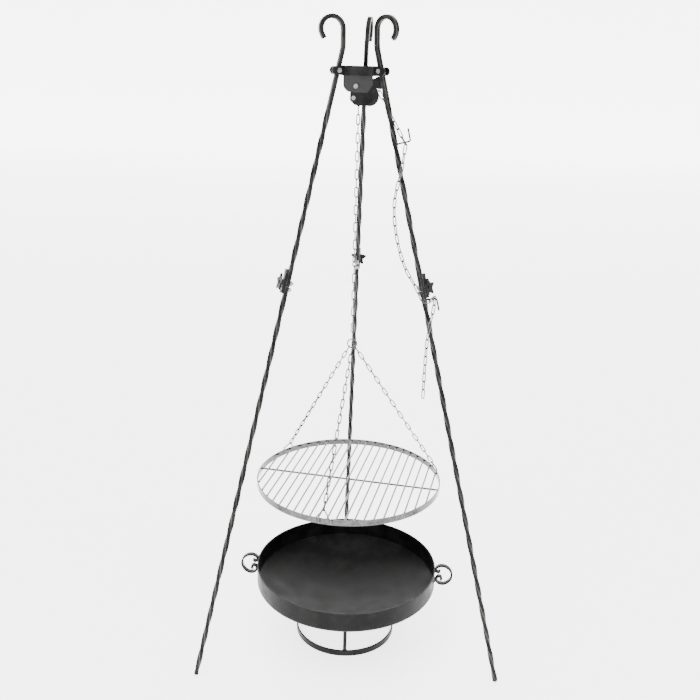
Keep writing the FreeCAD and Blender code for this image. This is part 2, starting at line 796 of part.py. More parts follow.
# ---------------------------------------------------------------- grate
grate_inner = size("grate_radius") - size("grate_band")
grate_top = size("grate_top")
rim = turned("grate_rim", [
    ("Sizes.grate_radius - Sizes.grate_band", "-Sizes.grate_tall"),
    ("Sizes.grate_radius", "-Sizes.grate_tall"),
    ("Sizes.grate_radius", "0"),
    ("Sizes.grate_radius - Sizes.grate_band", "0"),
])
keep(rim, "grate_rim", Placement(Vector(0, 0, grate_top), Rotation()))

rods = []
count = int(size("bar_count"))
for index in range(count):
    aside = (index - (count - 1) / 2) * size("bar_pitch")
    half = math.sqrt((grate_inner - 0.15) ** 2 - (abs(aside) + size("bar_wire") / 2) ** 2)
    rod = cylinder("Sizes.bar_wire / 2", str(2 * half), Placement(Vector(-half, aside, 0), out_of_leg))
    rods.append(rod)
bar_z = grate_top - size("bar_below_top")
bar_place = Placement(Vector(0, 0, bar_z), Rotation(Z_AXIS, size("bar_azimuth")))
keep(grouped("grate_bars", rods), "grate_bars", bar_place)

half = math.sqrt((grate_inner - 0.15) ** 2 - (size("brace_wire") / 2) ** 2)
brace_z = bar_z - size("bar_wire") / 2 - size("brace_wire") / 2 - 0.05
brace = cylinder("Sizes.brace_wire / 2", str(2 * half), Placement(Vector(-half, 0, 0), out_of_leg))
brace_group = grouped("grate_brace", [brace])
keep(
    brace_group, "grate_brace",
    Placement(Vector(0, 0, brace_z), Rotation(Z_AXIS, size("bar_azimuth") + 90)),
)

LOOPS = {"right": 0.0, "left": 120.0, "front": 240.0}
RING_SPOTS = {"right": -50.0, "left": 230.0, "front": 270.0}
loop_wire = size("loop_wire")
across_ring = ring_normal.cross(Z_AXIS).normalize()
if across_ring.x < 0:
    across_ring = across_ring * -1
for name, extra in LOOPS.items():
    azimuth = math.radians(size("first_loop_azimuth") + extra)
    outward = Vector(math.cos(azimuth), math.sin(azimuth), 0)
    sideways = Vector(-math.sin(azimuth), math.cos(azimuth), 0)
    spot = math.radians(RING_SPOTS[name])
    tangent = across_ring * -math.sin(spot) + Z_AXIS * math.cos(spot)
    hang_at = ring_at + (across_ring * math.cos(spot) + Z_AXIS * math.sin(spot)) * size("hang_ring_radius")
    foot_radius = size("grate_radius") + loop_wire / 2 + 0.1
    bend_point = outward * math.sqrt(foot_radius ** 2 - size("loop_half") ** 2) + Z_AXIS * (grate_top + 3)
    upward = (hang_at - bend_point).normalize()
    apex = bend_point + upward * size("loop_reach")
    foot = Z_AXIS * -15
    side = sideways * size("loop_half")
    path = [bend_point + side + foot, bend_point + side, apex, bend_point - side, bend_point - side + foot]
    loop = swept_round(path, 3.2, loop_wire)
    keep(formed(name + "_rim_loop", loop), name + "_rim_loop")

    # chain from the ring to the loop, the slack shared out over the links
    ridge = apex - upward * (3.2 / math.sin(math.atan2(size("loop_half"), size("loop_reach"))) - 3.2)
    down = (ridge - hang_at).normalize()
    first = hang_at - down * (size("hang_ring_wire") / 2 + 0.12)
    last = ridge + down * (loop_wire / 2 + 0.12)
    span = (last - first).Length
    normal = (tangent - down * tangent.dot(down)).normalize()
    link_count = 1 + math.ceil((span - long_inside) / pitch)
    odd_fits = abs(normal.dot(sideways)) > abs(down.cross(normal).dot(sideways))
    if (link_count % 2 == 1) != odd_fits:
        link_count += 1
    spacing = (span - long_inside) / (link_count - 1)
    whole_turn = math.degrees(math.atan2(normal.cross(sideways).dot(down), normal.dot(sideways)))
    plain_turn = 90 * (link_count - 1)
    swing = (whole_turn - plain_turn + 90) % 180 - 90
    links = []
    for step in range(link_count):
        centre = first + down * (long_inside / 2 + spacing * step)
        turn = Rotation(down, (plain_turn + swing) / (link_count - 1) * step)
        links.append(link_at(centre, down, turn.multVec(normal)))
    print(name, "grate chain links", link_count, "spacing", round(spacing, 3), "swing", round(swing, 1))
    keep(formed(name + "_grate_chain", Part.makeCompound(links)), name + "_grate_chain")

# ---------------------------------------------------------------- pegs and chain on the right leg
right = leg_frame(LEGS["right"])


def bar_surface(drop, azimuth):
    """Distance of the upper rod's surface from its axis, where it is twisted."""
    share = (upper_twist_start + drop) / (upper_twist_start - upper_twist_end)
    turn = math.radians(90 * upper_quarters * share - azimuth)
    return bar_half / max(abs(math.cos(turn)), abs(math.sin(turn)))


def peg(name, surface, azimuth, drop, out, tip_direction):
    """Bent wire peg welded to the outer side of the leg."""
    start = Vector(surface + 0.1, 0, 0)
    corner = Vector(out, 0, 0)
    tip = corner + Vector(0, 0, tip_direction * size("peg_tip"))
    shape = swept_round([start, corner, tip], 4.0, size("peg_wire"))
    keep(formed(name, shape), name, right * Placement(Vector(0, 0, -drop), Rotation(Z_AXIS, azimuth)))


upper_turn = size("upper_peg_turn")
upper_drop = size("upper_peg_drop")
# the round end of the peg clears the slant of the twisted face
upper_root = bar_surface(upper_drop, upper_turn) + size("peg_wire") * 0.3
peg("upper_peg", upper_root, upper_turn, upper_drop, size("upper_peg_out"), 1)
peg("lower_peg", bar_half, 0, size("lower_peg_drop"), size("lower_peg_out"), -1)

upper_heading = Rotation(Z_AXIS, upper_turn).multVec(X_AXIS)
upper_across = right.Rotation.multVec(upper_heading)
peg_across = right.Rotation.multVec(X_AXIS)
upper_hold = right.multVec(upper_heading * size("peg_hold") - Z_AXIS * upper_drop)
fall = (upper_hold - lift_off).normalize()
fall_run = (upper_hold - lift_off).Length
fall_count = int((fall_run - pitch / 2) / pitch)
hold_reach = fall_run - fall_count * pitch
print("fall run", fall_run, "links", fall_count, "peg inside the next link at", hold_reach)
fall_start = lift_off - (fall - first_along).normalize() * 0.6
fall_joints = [fall_start + fall * pitch * step for step in range(fall_count + 1)]
hold_normal = (upper_across - fall * upper_across.dot(fall)).normalize()
links, normal = run_meeting(fall_joints, fall.cross(first_flat), hold_normal)
keep(formed("taut_chain", Part.makeCompound(links)), "taut_chain")

hold_end = fall_joints[-1] + fall * pitch
hold_link, hold_next = run_of_links([fall_joints[-1], hold_end], hold_normal)

# the slack run sags in front of the leg to the lower peg, by as much as whole links need
lower_hold = right.multVec(Vector(size("lower_hold"), 0, -size("lower_peg_drop")))
slack_end = lower_hold + Z_AXIS * size("hold_above")
start_local = right.inverse().multVec(hold_end)
end_local = right.inverse().multVec(slack_end)
slack_count = int(size("slack_links"))


def slack_path(sag):
    """Line from the upper to the lower peg, bowed inward in front of the leg, then round the star screw."""
    way = [
        start_local, Vector(21, -6, -206), Vector(12, -15, -238), Vector(2 - sag * 0.6, -16, -285),
        Vector(-5 - sag, -16, -350), Vector(-6 - sag, -16, -420), Vector(-4 - sag * 0.6, -16, -480),
        Vector(0, -17.5, -524), Vector(9, -21, -545), Vector(20, -23.5, -551), Vector(31, -20, -549),
        end_local,
    ]
    return [right.multVec(point) for point in way]


low, high = -10.0, 60.0
while high - low > 0.001:
    middle = (low + high) / 2
    joints, left_over = stepped(slack_path(middle))
    if len(joints) - 1 + left_over < slack_count:
        low = middle
    else:
        high = middle
print("slack sag", round(low, 2))
slack_joints = stepped(slack_path(low))[0][:slack_count] + [slack_end]
tail_down = Z_AXIS * -1
peg_flat = (peg_across - tail_down * peg_across.dot(tail_down)).normalize()
slack_links, final = run_meeting(slack_joints, hold_next, peg_flat)

# link on the lower peg and the free end hanging in front of the leg
tail_start = slack_end + tail_down * pitch
lower_link, tail_normal = run_of_links([slack_end, tail_start], peg_flat)
out_dir = (peg_across - Z_AXIS * peg_across.z).normalize()
front_dir = out_dir.cross(Z_AXIS)
tail_path = [
    tail_start + out_dir * away + front_dir * front - Z_AXIS * drop
    for away, front, drop in (
        (0, 0, 0), (-0.5, 4.5, 22), (-2, 10.5, 46), (-4, 14.2, 72), (-6, 15, 110), (-8, 15, 180),
        (-9, 15, 262),
    )
]
tail_joints = stepped(tail_path)[0][: int(size("tail_links")) + 1]
tail_links, final = run_of_links(tail_joints, tail_normal)
keep(
    formed("slack_chain", Part.makeCompound(hold_link + slack_links + lower_link + tail_links)), "slack_chain"
)

# ---------------------------------------------------------------- fire bowl
bowl_radius = size("bowl_radius")
rim_z = size("bowl_height")
wall = size("bowl_wall")
corner_z = rim_z - size("bowl_wall_tall")
sagitta = size("bowl_sagitta")
dish_radius = (bowl_radius ** 2 + sagitta ** 2) / (2 * sagitta)


def dish_point(radius, ball, ball_centre):
    return Vector(radius, 0, ball_centre - math.sqrt(ball ** 2 - radius ** 2))


def bowl_shape():
    """Straight wall, dished bottom, both offset inward by the sheet's thickness."""
    centre_z = corner_z - sagitta + dish_radius
    skins = []
    for inset in (0.0, wall):
        ball = dish_radius - inset
        radius = bowl_radius - inset
        edge = dish_point(radius, ball, centre_z)
        low = Vector(0, 0, centre_z - ball)
        skins.append((low, dish_point(radius / 2, ball, centre_z), edge, Vector(radius, 0, rim_z)))
    (low, mid, edge, top), (low_in, mid_in, edge_in, top_in) = skins
    outline = Part.Wire([
        Part.Arc(low, mid, edge).toShape(), Part.makeLine(edge, top), Part.makeLine(top, top_in),
        Part.makeLine(top_in, edge_in), Part.Arc(edge_in, mid_in, low_in).toShape(),
        Part.makeLine(low_in, low),
    ])
    solid = Part.Face(outline).revolve(Vector(0, 0, 0), Z_AXIS, 360)
    outer = [
        line for line in solid.Edges
        if abs(line.BoundBox.ZMin - edge.z) < 0.01 and abs(line.BoundBox.ZMax - edge.z) < 0.01
        and line.BoundBox.XLength > 2 * bowl_radius - 1
    ]
    solid = solid.makeFillet(size("bowl_corner"), outer)
    return solid


keep(formed("bowl_shell", bowl_shape()), "bowl_shell")

foot = turned("foot_ring", [
    ("Sizes.foot_radius - Sizes.foot_wall", "0"), ("Sizes.foot_radius", "0"),
    ("Sizes.foot_radius", "Sizes.foot_tall"), ("Sizes.foot_radius - Sizes.foot_wall", "Sizes.foot_tall"),
])
keep(foot, "foot_ring")

# posts from the foot ring up to the dished bottom
post_circle = size("foot_radius") - size("foot_wall") / 2
dish_centre = corner_z - sagitta + dish_radius
post_top = dish_centre - math.sqrt(dish_radius ** 2 - (post_circle - size("post_radius")) ** 2)
posts = []
for azimuth in (270.0, 30.0, 150.0):
    turn = math.radians(azimuth)
    base = Vector(post_circle * math.cos(turn), post_circle * math.sin(turn), size("foot_tall"))
    tall = str(post_top - size("foot_tall"))
    posts.append(cylinder("Sizes.post_radius", tall, Placement(base, Rotation())))
keep(grouped("bowl_posts", posts), "bowl_posts")


def scroll_arm(length, back_radius, tip_radius, tightening):
    """Centreline of half a C scroll: nearly round at its back and winding up towards its tip."""
    steps = 240
    step = length / steps
    across, up, heading = 0.0, 0.0, math.pi / 2
    points = [(across, up, heading)]
    for index in range(steps):
        share = (index + 0.5) / steps
        heading += step * (1 / back_radius + (1 / tip_radius - 1 / back_radius) * share ** tightening)
        across += math.cos(heading) * step
        up += math.sin(heading) * step
        points.append((across, up, heading))
    return points


def handle_shape(middle_height):
    """Flat strip bent to a C with a curl at each end, standing off the bowl's wall along +X."""
    upper = scroll_arm(size("upper_arm"), 28.7, 3.4, 5.4)
    lower = scroll_arm(size("lower_arm"), 30.8, 4.6, 3.1)
    line = [(x, -z, math.pi - heading) for x, z, heading in reversed(lower[1:])] + upper
    half = size("handle_strip") / 2
    reach = -min(x for x, z, heading in line) + half + 0.1
    sides = []
    for hand in (1, -1):
        side = [
            Vector(
                bowl_radius + reach + x + hand * half * math.sin(heading), 0,
                middle_height + z - hand * half * math.cos(heading),
            )
            for x, z, heading in line[::8]
        ]
        sides.append(side)
    curves = []
    for side in sides:
        curve = Part.BSplineCurve()
        curve.interpolate(side)
        curves.append(curve.toShape())
    caps = [Part.makeLine(sides[0][0], sides[1][0]), Part.makeLine(sides[0][-1], sides[1][-1])]
    outline = Part.Wire(Part.__sortEdges__(curves + caps))
    wide = size("handle_wide")
    strip = Part.Face(outline).extrude(Y_AXIS * wide)
    strip.translate(Vector(0, -wide / 2, 0))
    return strip


for name, azimuth in (("right_handle", 0.0), ("left_handle", 180.0)):
    turned_place = Placement(Vector(0, 0, 0), Rotation(Z_AXIS, azimuth - size("handle_turn")))
    keep(formed(name, handle_shape(size("handle_height"))), name, turned_place)


doc.recompute()

for piece in nodes:
    state = [word for word in piece.State if word in ("Invalid", "Error")]
    if state or piece.Shape.isNull() or not piece.Shape.isValid():
        raise RuntimeError(f"{piece.Label} is not sound: {piece.State}")
    piece.Shape.exportStep(f"parts/{piece.Label}.step")
print(len(nodes), "sub-parts written")
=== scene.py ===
"""Looks of the campfire tripod grate: materials, weld beads, small fastener detail, light and camera."""

import json
import math
import random

import bmesh
import bpy
from mathutils import Matrix, Vector, noise


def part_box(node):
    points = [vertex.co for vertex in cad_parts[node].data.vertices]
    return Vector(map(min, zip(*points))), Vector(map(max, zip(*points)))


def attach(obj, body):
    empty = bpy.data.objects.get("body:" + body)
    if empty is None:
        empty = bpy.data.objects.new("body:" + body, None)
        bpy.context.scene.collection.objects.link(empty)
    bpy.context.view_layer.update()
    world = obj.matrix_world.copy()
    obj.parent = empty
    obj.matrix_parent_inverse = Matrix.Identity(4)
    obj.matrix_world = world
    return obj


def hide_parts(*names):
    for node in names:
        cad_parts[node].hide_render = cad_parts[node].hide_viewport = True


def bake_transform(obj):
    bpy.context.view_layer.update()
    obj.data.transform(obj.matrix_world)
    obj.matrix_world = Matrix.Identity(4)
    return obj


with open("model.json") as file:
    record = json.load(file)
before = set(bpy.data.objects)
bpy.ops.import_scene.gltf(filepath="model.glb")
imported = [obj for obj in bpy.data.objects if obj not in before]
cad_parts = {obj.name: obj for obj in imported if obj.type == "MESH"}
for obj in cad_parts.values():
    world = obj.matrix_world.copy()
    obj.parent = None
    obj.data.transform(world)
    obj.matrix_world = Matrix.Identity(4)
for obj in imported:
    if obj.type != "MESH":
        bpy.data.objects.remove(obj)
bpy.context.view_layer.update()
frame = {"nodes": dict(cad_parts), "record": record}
nodes = frame["nodes"]
LEGS = {"back": 90.0, "left": 210.0, "right": 330.0}
random.seed(7)


# ---------------------------------------------------------------- node material helpers
class Shader:
    """Small builder for one Principled material."""

    def __init__(self, name):
        self.material = bpy.data.materials.new(name)
        self.material.use_nodes = True
        self.tree = self.material.node_tree
        self.bsdf = self.tree.nodes["Principled BSDF"]
        coordinates = self.add("ShaderNodeTexCoord")
        self.place = coordinates.outputs["Object"]

    def add(self, kind, **values):
        node = self.tree.nodes.new(kind)
        for key, value in values.items():
            setattr(node, key, value)
        return node

    def link(self, source, target):
        self.tree.links.new(source, target)

    def stretched(self, scale):
        """Object coordinates scaled along the axes."""
        mapping = self.add("ShaderNodeMapping")
        mapping.inputs["Scale"].default_value = scale
        self.link(self.place, mapping.inputs["Vector"])
        return mapping.outputs["Vector"]

    def noise(self, scale, detail=4.0, rough=0.6, vector=None):
        node = self.add("ShaderNodeTexNoise")
        node.inputs["Scale"].default_value = scale
        node.inputs["Detail"].default_value = detail
        node.inputs["Roughness"].default_value = rough
        self.link(vector or self.place, node.inputs["Vector"])
        return node.outputs["Fac"]

    def cells(self, scale, feature="F1", vector=None):
        node = self.add("ShaderNodeTexVoronoi", feature=feature)
        node.inputs["Scale"].default_value = scale
        self.link(vector or self.place, node.inputs["Vector"])
        return node.outputs["Distance"]

    def span(self, source, low, high, to_low=0.0, to_high=1.0):
        node = self.add("ShaderNodeMapRange")
        node.interpolation_type = "SMOOTHSTEP"
        node.inputs["From Min"].default_value = low
        node.inputs["From Max"].default_value = high
        node.inputs["To Min"].default_value = to_low
        node.inputs["To Max"].default_value = to_high
        self.link(source, node.inputs["Value"])
        return node.outputs["Result"]

    def math(self, operation, first, second):
        node = self.add("ShaderNodeMath", operation=operation)
        for socket, value in zip(node.inputs, (first, second)):
            if isinstance(value, (int, float)):
                socket.default_value = value
            else:
                self.link(value, socket)
        return node.outputs["Value"]

    def mix(self, share, first, second):
        node = self.add("ShaderNodeMix", data_type="RGBA")
        for socket, value in ((node.inputs[0], share), (node.inputs[6], first), (node.inputs[7], second)):
            if isinstance(value, (int, float)):
                socket.default_value = value
            elif isinstance(value, tuple):
                socket.default_value = (*value, 1.0)
            else:
                self.link(value, socket)
        return node.outputs[2]

    def edges(self, radius):
        """About 1 on sharp convex edges and 0 on flats."""
        bevel = self.add("ShaderNodeBevel", samples=6)
        bevel.inputs["Radius"].default_value = radius
        geometry = self.add("ShaderNodeNewGeometry")
        dot = self.add("ShaderNodeVectorMath", operation="DOT_PRODUCT")
        self.link(bevel.outputs["Normal"], dot.inputs[0])
        self.link(geometry.outputs["Normal"], dot.inputs[1])
        return self.span(dot.outputs["Value"], 0.995, 0.86)

    def color(self, source):
        self.link(source, self.bsdf.inputs["Base Color"])

    def roughness(self, source):
        self.link(source, self.bsdf.inputs["Roughness"])

    def bump(self, height, strength, distance, soft_edge=0.0):
        node = self.add("ShaderNodeBump")
        node.inputs["Strength"].default_value = strength
        node.inputs["Distance"].default_value = distance
        self.link(height, node.inputs["Height"])
        if soft_edge:
            bevel = self.add("ShaderNodeBevel", samples=6)
            bevel.inputs["Radius"].default_value = soft_edge
            self.link(bevel.outputs["Normal"], node.inputs["Normal"])
        self.link(node.outputs["Normal"], self.bsdf.inputs["Normal"])

    def gloss(self, level):
        self.bsdf.inputs["Specular IOR Level"].default_value = level

    def metallic(self, value):
        if isinstance(value, (int, float)):
            self.bsdf.inputs["Metallic"].default_value = value
        else:
            self.link(value, self.bsdf.inputs["Metallic"])


def forged_steel():
    """Blackened bar, pale along its edges: partly burnished wear, partly a painted highlight."""
    shader = Shader("forged_steel")
    patches = shader.noise(38.0, 6.0, 0.65)
    fine = shader.noise(900.0, 4.0, 0.7)
    scale_flakes = shader.cells(260.0)
    # pale edge mask: partly real burnished wear, partly painted highlight standing in for facets that catch
    # the light
    pale_edges = shader.math("MULTIPLY", shader.edges(0.0016), shader.span(patches, 0.32, 0.66, 0.25, 1.0))
    dark = shader.mix(shader.span(patches, 0.38, 0.66), (0.006, 0.0058, 0.0056), (0.024, 0.023, 0.022))
    dark = shader.mix(shader.span(fine, 0.52, 0.72, 0.0, 0.4), dark, (0.034, 0.032, 0.030))
    # pale edge colour: burnished steel plus a painted highlight
    shader.color(shader.mix(pale_edges, dark, (0.21, 0.205, 0.197)))
    shader.metallic(0.6)
    shader.gloss(0.12)
    shader.roughness(shader.math("SUBTRACT", shader.span(patches, 0.3, 0.7, 0.36, 0.58),
                                 shader.math("MULTIPLY", pale_edges, 0.12)))
    height = shader.math("ADD", shader.math("MULTIPLY", scale_flakes, 0.35), fine)
    shader.bump(height, 0.35, 0.0006, soft_edge=0.0011)
    return shader.material


def black_steel(name, low, high, rough_low, rough_high, soft=0.0008, streak=None):
    """Satin black steel with faint mottling and rubbed edges."""
    shader = Shader(name)
    vector = shader.stretched(streak) if streak else None
    patches = shader.noise(24.0, 6.0, 0.6, vector)
    fine = shader.noise(700.0, 4.0, 0.65)
    pale_edges = shader.math("MULTIPLY", shader.edges(0.0010), shader.span(patches, 0.42, 0.66, 0.1, 0.8))
    base = shader.mix(shader.span(patches, 0.36, 0.68), low, high)
    base = shader.mix(shader.span(fine, 0.56, 0.75, 0.0, 0.25), base, tuple(2.2 * c for c in high))
    shader.color(shader.mix(pale_edges, base, (0.085, 0.083, 0.08)))
    shader.metallic(0.25)
    shader.gloss(0.10)
    shader.roughness(shader.span(patches, 0.3, 0.72, rough_low, rough_high))
    shader.bump(fine, 0.25, 0.0004, soft_edge=soft)
    return shader.material


def bright_metal(name, low, high, rough_low, rough_high, grain, soft=0.0004):
    """Zinc or stainless: fine grain, cloudy tone and a little grime."""
    shader = Shader(name)
    cloud = shader.noise(60.0, 5.0, 0.6)
    fine = shader.noise(1500.0, 3.0, 0.6, shader.stretched(grain))
    grime = shader.span(shader.noise(170.0, 6.0, 0.7), 0.56, 0.78, 0.0, 0.45)
    tone = shader.mix(shader.span(cloud, 0.3, 0.7), low, high)
    shader.color(shader.mix(grime, tone, tuple(0.45 * c for c in low)))
    shader.metallic(1.0)
    shader.roughness(shader.math("ADD", shader.span(cloud, 0.3, 0.7, rough_low, rough_high),
                                 shader.math("MULTIPLY", grime, 0.3)))
    shader.bump(fine, 0.3, 0.0002, soft_edge=soft)
    return shader.material


def plastic_black(name):
    shader = Shader(name)
    patches = shader.noise(80.0, 5.0, 0.6)
    fine = shader.noise(1800.0, 3.0, 0.6)
    shader.color(shader.mix(shader.span(patches, 0.35, 0.7), (0.005, 0.005, 0.005), (0.012, 0.012, 0.012)))
    shader.metallic(0.0)
    shader.gloss(0.14)
    shader.roughness(shader.span(patches, 0.3, 0.7, 0.38, 0.55))
    shader.bump(fine, 0.3, 0.0003, soft_edge=0.0008)
    return shader.material


MATERIALS = {
    "forged_steel": forged_steel(),
    "black_steel": black_steel("black_steel", (0.004, 0.004, 0.004), (0.012, 0.0117, 0.0114), 0.30, 0.48),
    "bowl_black": black_steel(
        "bowl_black", (0.0035, 0.0035, 0.0035), (0.010, 0.0097, 0.0094), 0.34, 0.52, 0.0012
    ),
    "star_black": plastic_black("star_black"),
    "wheel_black": plastic_black("wheel_black"),
    "grey_plate": black_steel("grey_plate", (0.016, 0.016, 0.016), (0.032, 0.032, 0.032), 0.32, 0.5),
    "zinc": bright_metal("zinc", (0.20, 0.20, 0.197), (0.32, 0.32, 0.32), 0.20, 0.34, (1, 1, 1)),
    "chain_zinc": bright_metal(
        "chain_zinc", (0.055, 0.055, 0.055), (0.12, 0.12, 0.12), 0.16, 0.30, (1, 1, 1)
    ),
    "stainless": bright_metal("stainless", (0.055, 0.055, 0.055), (0.11, 0.11, 0.11), 0.14, 0.27, (1, 1, 8)),
}
SLOT_OF = {part["node"]: part["material_slot"] for part in frame["record"]["subparts"]}
for node_name, piece in nodes.items():
    piece.data.materials.clear()
    piece.data.materials.append(MATERIALS[SLOT_OF[node_name]])


# ---------------------------------------------------------------- main chain, one piece for each link
def split_links(source):
    """Separate meshes of the links in a chain node, from top to bottom."""
    mesh = bmesh.new()
    mesh.from_mesh(source.data)
    bmesh.ops.remove_doubles(mesh, verts=mesh.verts, dist=1e-6)
    seen = set()
    islands = []
    for start in mesh.verts:
        if start in seen:
            continue
        island = [start]
        seen.add(start)
        for vertex in island:
            for edge in vertex.link_edges:
                other = edge.other_vert(vertex)
                if other not in seen:
                    seen.add(other)
                    island.append(other)
        islands.append(island)
    links = []
    for island in islands:
        order = {vertex: index for index, vertex in enumerate(island)}
        faces = [face for face in mesh.faces if face.verts[0] in order]
        points = [vertex.co.copy() for vertex in island]
        links.append((points, [[order[vertex] for vertex in face.verts] for face in faces]))
    mesh.free()
    links.sort(key=lambda link: -sum(point.z for point in link[0]) / len(link[0]))
    return links


def new_piece(name, points, faces, material, smooth=True):
    mesh = bpy.data.meshes.new(name)
    mesh.from_pydata([tuple(point) for point in points], [], faces)
    mesh.update()
    if smooth:
        mesh.shade_smooth()
    piece = bpy.data.objects.new(name, mesh)
    bpy.context.scene.collection.objects.link(piece)
    mesh.materials.append(material)
    return piece


def smooth_inverse(share):
    """Where 3t^2 - 2t^3 equals a share."""
    low, high = 0.0, 1.0
    for _ in range(40):
        middle = (low + high) / 2
        if middle * middle * (3 - 2 * middle) < share:
            low = middle
        else:
            high = middle
    return low


chain_low, chain_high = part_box("main_chain")
top, bottom = chain_high[2], chain_low[2]
length = top - bottom
for index, (points, faces) in enumerate(split_links(nodes["main_chain"])):
    link = new_piece(f"hoist_link_{index:02d}", points, faces, MATERIALS["chain_zinc"])
    centre = sum(point.z for point in points) / len(points)
    at = smooth_inverse((top - centre) / length)
    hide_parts("main_chain")
    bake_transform(link)


# ---------------------------------------------------------------- frames of the ring and of the legs
PIVOT_RADIUS = 0.060
HEAD = Vector((0.005, 0, 1.540))
HEAD_TURN = -10.0
FOOT_CIRCLE = 0.4612
SLOPE = 0.2605
SCREW_DROP = 0.5 * math.sqrt(1 + SLOPE ** 2)
UP = Vector((0, 0, 1))


def outward(azimuth):
    turn = math.radians(azimuth)
    return Vector((math.cos(turn), math.sin(turn), 0))


def round_axis(azimuth, away, aside, height):
    """Point by its distance from the stand's axis, sideways offset and height."""
    return outward(azimuth) * away + UP.cross(outward(azimuth)) * aside + UP * height


def on_head(azimuth, away, aside, rise):
    """Point by its distance from the middle of the head's ring towards a leg, sideways offset and rise."""
    return HEAD + round_axis(azimuth + HEAD_TURN, away, aside, rise)


def leg_axes(azimuth):
    """Directions out of a leg, across it and up along it."""
    pivot = on_head(azimuth, PIVOT_RADIUS, 0, 0)
    heading = outward(azimuth) * FOOT_CIRCLE - pivot
    heading.z = 0
    up = (UP - heading.normalized() * SLOPE).normalized()
    out = UP.cross(outward(azimuth + HEAD_TURN)).cross(up).normalized()
    return out, up.cross(out), up


def on_leg(azimuth, away, aside, up):
    """Point in the frame of a leg: out of it, across it and up along it from the pivot."""
    out, across, along = leg_axes(azimuth)
    return on_head(azimuth, PIVOT_RADIUS, 0, 0) + out * away + across * aside + along * up


# ---------------------------------------------------------------- pieces added around the frame
def finish_piece(name, points, faces, slot, body, smooth=True):
    piece = new_piece(name, points, faces, MATERIALS[slot], smooth)
    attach(piece, body)
    return piece


def tube_mesh(path, radius, closed=False, sides=10, ripple=0.0, every=0.0016):
    """Tube along points; a ripple gives it the stacked look of a weld bead."""
    points, faces = [], []
    count = len(path)
    normal = None
    travelled = 0.0
    for index in range(count):
        before = path[index - 1] if index or closed else path[index]
        after = path[(index + 1) % count] if index < count - 1 or closed else path[index]
        along = (after - before).normalized()
        if normal is None:
            normal = along.orthogonal().normalized()
        normal = (normal - along * normal.dot(along)).normalized()
        third = along.cross(normal)
        if index:
            travelled += (path[index] - path[index - 1]).length
        swell = radius * (1 + ripple * abs(math.sin(math.pi * travelled / every)) - ripple * 0.5)
        swell *= 1 + ripple * 0.6 * noise.noise(path[index] * 400)
        if not closed and index in (0, count - 1):
            swell *= 0.45
        for side in range(sides):
            turn = 2 * math.pi * side / sides
            points.append(path[index] + (normal * math.cos(turn) + third * math.sin(turn)) * swell)
    rings = count if closed else count - 1
    for index in range(rings):
        low, high = index * sides, ((index + 1) % count) * sides
        for side in range(sides):
            other = (side + 1) % sides
            faces.append((low + side, low + other, high + other, high + side))
    if not closed:
        faces.append(tuple(reversed(range(sides))))
        faces.append(tuple(range((count - 1) * sides, count * sides)))
    return points, faces


def line_points(start, end, step=0.0004):
    count = max(2, int((end - start).length / step))
    return [start.lerp(end, index / count) for index in range(count + 1)]


def circle_points(centre, normal, radius, count=48):
    first = Vector(normal).orthogonal().normalized()
    second = Vector(normal).normalized().cross(first)
    turns = [2 * math.pi * index / count for index in range(count)]
    return [centre + (first * math.cos(turn) + second * math.sin(turn)) * radius for turn in turns]


def gather(parts):
    """Joins several point and face lists into one."""
    points, faces = [], []
    for some_points, some_faces in parts:
        shift = len(points)
        points += some_points
        faces += [tuple(index + shift for index in face) for face in some_faces]
    return points, faces


def bead(path, radius=0.0013, closed=False):
    return tube_mesh(path, radius, closed, 8, 0.35)


def lathe_mesh(centre, axis, profile, sides=32):
    """Solid turned about an axis from (radius, height) pairs that begin and end on the axis."""
    axis = Vector(axis).normalized()
    first = axis.orthogonal().normalized()
    second = axis.cross(first)
    points = [centre + axis * profile[0][1]]
    for radius, height in profile[1:-1]:
        for side in range(sides):
            turn = 2 * math.pi * side / sides
            spoke = first * math.cos(turn) + second * math.sin(turn)
            points.append(centre + axis * height + spoke * radius)
    points.append(centre + axis * profile[-1][1])
    faces = []
    rings = len(profile) - 2
    for side in range(sides):
        other = (side + 1) % sides
        faces.append((0, 1 + other, 1 + side))
        for ring in range(rings - 1):
            low, high = 1 + ring * sides, 1 + (ring + 1) * sides
            faces.append((low + side, low + other, high + other, high + side))
        last = 1 + (rings - 1) * sides
        faces.append((last + side, last + other, len(points) - 1))
    return points, faces


def thread_mesh(centre, axis, radius, start, end, rise=0.001):
    """Ridged end of a screw."""
    profile = [(0, start), (radius, start)]
    height = start
    while height + rise < end:
        crest = (radius + 0.00025, height + rise * 0.35)
        profile += [(radius, height), crest, (radius, height + rise * 0.75)]
        height += rise
    profile += [(radius, end - 0.0004), (radius - 0.0006, end), (0, end)]
    return lathe_mesh(centre, axis, profile, 24)


def washer_mesh(centre, axis, radius, thick):
    return lathe_mesh(centre, axis, [
        (0, 0), (radius - 0.0001, 0), (radius, 0.0002), (radius, thick - 0.0002),
        (radius - 0.0002, thick), (0, thick),
    ])


def blob_mesh(centre, size, rings=6, sides=10):
    """Rounded drop of weld metal."""
    profile = [(0, -size[2])]
    for ring in range(1, rings):
        turn = math.pi * ring / rings
        profile.append((size[0] * math.sin(turn), -size[2] * math.cos(turn)))
    profile.append((0, size[2]))
    return lathe_mesh(centre, UP, profile, sides)


# ---------------------------------------------------------------- welds, washers and threads
RING_OUTSIDE = 0.0515
